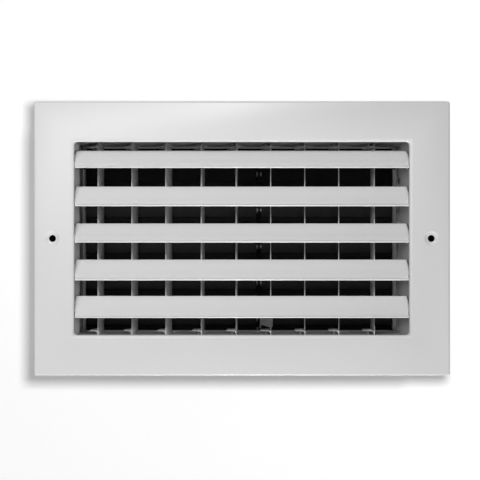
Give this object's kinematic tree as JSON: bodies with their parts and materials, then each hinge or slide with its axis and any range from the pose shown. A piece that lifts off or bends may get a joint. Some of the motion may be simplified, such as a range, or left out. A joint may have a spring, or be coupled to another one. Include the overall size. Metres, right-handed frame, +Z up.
{
  "type": "supply air register",
  "caption": "White steel supply air register with a flanged face, horizontal front blades, vertical rear fins and a shutter damper worked by a thumb tab.",
  "frame": {"origin": "middle of the register's box, on the centre line of its opening", "axes": "+X to the right and +Z up as seen from the room, +Y back into the duct"},
  "size_m": [0.2984, 0.0702, 0.1968],
  "materials": {
    "frame_paint": "white powder coat, satin",
    "blade_paint": "white powder coat, satin",
    "shutter_paint": "black paint, matt",
    "damper_zinc": "galvanised sheet, dull",
    "hardware_zinc": "zinc plated, satin"
  },
  "bodies": {
    "register": {"face_frame": "frame_paint", "collar": "frame_paint", "damper_frame": "damper_zinc", "blade_rivet_1_left": "hardware_zinc", "blade_rivet_1_right": "hardware_zinc", "blade_rivet_2_left": "hardware_zinc", "blade_rivet_2_right": "hardware_zinc", "blade_rivet_3_left": "hardware_zinc", "blade_rivet_3_right": "hardware_zinc", "blade_rivet_4_left": "hardware_zinc", "blade_rivet_4_right": "hardware_zinc", "blade_rivet_5_left": "hardware_zinc", "blade_rivet_5_right": "hardware_zinc", "fin_rivet_1_bottom": "hardware_zinc", "fin_rivet_1_top": "hardware_zinc", "fin_rivet_2_bottom": "hardware_zinc", "fin_rivet_2_top": "hardware_zinc", "fin_rivet_3_bottom": "hardware_zinc", "fin_rivet_3_top": "hardware_zinc", "fin_rivet_4_bottom": "hardware_zinc", "fin_rivet_4_top": "hardware_zinc", "fin_rivet_5_bottom": "hardware_zinc", "fin_rivet_5_top": "hardware_zinc", "fin_rivet_6_bottom": "hardware_zinc", "fin_rivet_6_top": "hardware_zinc", "fin_rivet_7_bottom": "hardware_zinc", "fin_rivet_7_top": "hardware_zinc", "fin_rivet_8_bottom": "hardware_zinc", "fin_rivet_8_top": "hardware_zinc", "fin_rivet_9_bottom": "hardware_zinc", "fin_rivet_9_top": "hardware_zinc", "damper_rivet_1": "hardware_zinc", "damper_rivet_2": "hardware_zinc", "damper_rivet_3": "hardware_zinc", "damper_rivet_4": "hardware_zinc"},
    "front_blade_1": {"front_blade_1": "blade_paint"},
    "front_blade_2": {"front_blade_2": "blade_paint"},
    "front_blade_3": {"front_blade_3": "blade_paint"},
    "front_blade_4": {"front_blade_4": "blade_paint"},
    "front_blade_5": {"front_blade_5": "blade_paint"},
    "rear_fin_1": {"rear_fin_1": "blade_paint"},
    "rear_fin_2": {"rear_fin_2": "blade_paint"},
    "rear_fin_3": {"rear_fin_3": "blade_paint"},
    "rear_fin_4": {"rear_fin_4": "blade_paint"},
    "rear_fin_5": {"rear_fin_5": "blade_paint"},
    "rear_fin_6": {"rear_fin_6": "blade_paint"},
    "rear_fin_7": {"rear_fin_7": "blade_paint"},
    "rear_fin_8": {"rear_fin_8": "blade_paint"},
    "rear_fin_9": {"rear_fin_9": "blade_paint"},
    "damper_blade_1": {"damper_blade_1": "shutter_paint"},
    "damper_blade_2": {"damper_blade_2": "shutter_paint"},
    "damper_blade_3": {"damper_blade_3": "shutter_paint"},
    "damper_blade_4": {"damper_blade_4": "shutter_paint"},
    "damper_blade_5": {"damper_blade_5": "shutter_paint"},
    "link": {"link_bar": "hardware_zinc", "link_pin_1": "hardware_zinc", "link_pin_2": "hardware_zinc", "link_pin_3": "hardware_zinc", "link_pin_4": "hardware_zinc", "link_pin_5": "hardware_zinc"}
  },
  "joints": [
    {"name": "front_blade_1_tilt", "type": "hinge", "parent": "register", "child": "front_blade_1", "pos_m": [0, -0.02515, 0.05516], "axis": [1, 0, 0], "range_deg": [-105, 35]},
    {"name": "front_blade_2_tilt", "type": "hinge", "parent": "register", "child": "front_blade_2", "pos_m": [0, -0.02515, 0.02842], "axis": [1, 0, 0], "range_deg": [-110, 30]},
    {"name": "front_blade_3_tilt", "type": "hinge", "parent": "register", "child": "front_blade_3", "pos_m": [0, -0.02515, 0.00168], "axis": [1, 0, 0], "range_deg": [-105.5, 34.5]},
    {"name": "front_blade_4_tilt", "type": "hinge", "parent": "register", "child": "front_blade_4", "pos_m": [0, -0.02515, -0.02506], "axis": [1, 0, 0], "range_deg": [-108.5, 31.5]},
    {"name": "front_blade_5_tilt", "type": "hinge", "parent": "register", "child": "front_blade_5", "pos_m": [0, -0.02515, -0.0518], "axis": [1, 0, 0], "range_deg": [-110, 30]},
    {"name": "rear_fin_1_swing", "type": "hinge", "parent": "register", "child": "rear_fin_1", "pos_m": [-0.1092, -0.00215, 0], "axis": [0, 0, 1], "range_deg": [-28, 42]},
    {"name": "rear_fin_2_swing", "type": "hinge", "parent": "register", "child": "rear_fin_2", "pos_m": [-0.08338, -0.00215, 0], "axis": [0, 0, 1], "range_deg": [-25, 45]},
    {"name": "rear_fin_3_swing", "type": "hinge", "parent": "register", "child": "rear_fin_3", "pos_m": [-0.05755, -0.00215, 0], "axis": [0, 0, 1], "range_deg": [-22, 48]},
    {"name": "rear_fin_4_swing", "type": "hinge", "parent": "register", "child": "rear_fin_4", "pos_m": [-0.03173, -0.00215, 0], "axis": [0, 0, 1], "range_deg": [-27.5, 42.5]},
    {"name": "rear_fin_5_swing", "type": "hinge", "parent": "register", "child": "rear_fin_5", "pos_m": [-0.0059, -0.00215, 0], "axis": [0, 0, 1], "range_deg": [-29.5, 40.5]},
    {"name": "rear_fin_6_swing", "type": "hinge", "parent": "register", "child": "rear_fin_6", "pos_m": [0.01992, -0.00215, 0], "axis": [0, 0, 1], "range_deg": [-30.5, 39.5]},
    {"name": "rear_fin_7_swing", "type": "hinge", "parent": "register", "child": "rear_fin_7", "pos_m": [0.04575, -0.00215, 0], "axis": [0, 0, 1], "range_deg": [-28.5, 41.5]},
    {"name": "rear_fin_8_swing", "type": "hinge", "parent": "register", "child": "rear_fin_8", "pos_m": [0.07157, -0.00215, 0], "axis": [0, 0, 1], "range_deg": [-26, 44]},
    {"name": "rear_fin_9_swing", "type": "hinge", "parent": "register", "child": "rear_fin_9", "pos_m": [0.0974, -0.00215, 0], "axis": [0, 0, 1], "range_deg": [-32.5, 37.5]},
    {"name": "damper_blade_1_turn", "type": "hinge", "parent": "register", "child": "damper_blade_1", "pos_m": [0, 0.02485, 0.05728], "axis": [-1, 0, 0], "range_deg": [0, 84]},
    {"name": "damper_blade_2_turn", "type": "hinge", "parent": "register", "child": "damper_blade_2", "pos_m": [0, 0.02485, 0.02864], "axis": [-1, 0, 0], "range_deg": [0, 84]},
    {"name": "damper_blade_3_turn", "type": "hinge", "parent": "register", "child": "damper_blade_3", "pos_m": [0, 0.02485, 0], "axis": [-1, 0, 0], "range_deg": [0, 84]},
    {"name": "damper_blade_4_turn", "type": "hinge", "parent": "register", "child": "damper_blade_4", "pos_m": [0, 0.02485, -0.02864], "axis": [-1, 0, 0], "range_deg": [0, 84]},
    {"name": "damper_blade_5_turn", "type": "hinge", "parent": "register", "child": "damper_blade_5", "pos_m": [0, 0.02485, -0.05728], "axis": [-1, 0, 0], "range_deg": [0, 84]},
    {"name": "link_bar_swing", "type": "hinge", "parent": "damper_blade_5", "child": "link", "pos_m": [0.0148, 0.01816, -0.0633], "axis": [-1, 0, 0], "range_deg": [-84, 0]}
  ],
  "couplings": [
    {"joint": "damper_blade_1_turn", "follows": "damper_blade_5_turn", "ratio": 1},
    {"joint": "damper_blade_2_turn", "follows": "damper_blade_5_turn", "ratio": 1},
    {"joint": "damper_blade_3_turn", "follows": "damper_blade_5_turn", "ratio": 1},
    {"joint": "damper_blade_4_turn", "follows": "damper_blade_5_turn", "ratio": 1},
    {"joint": "link_bar_swing", "follows": "damper_blade_5_turn", "ratio": -1}
  ]
}
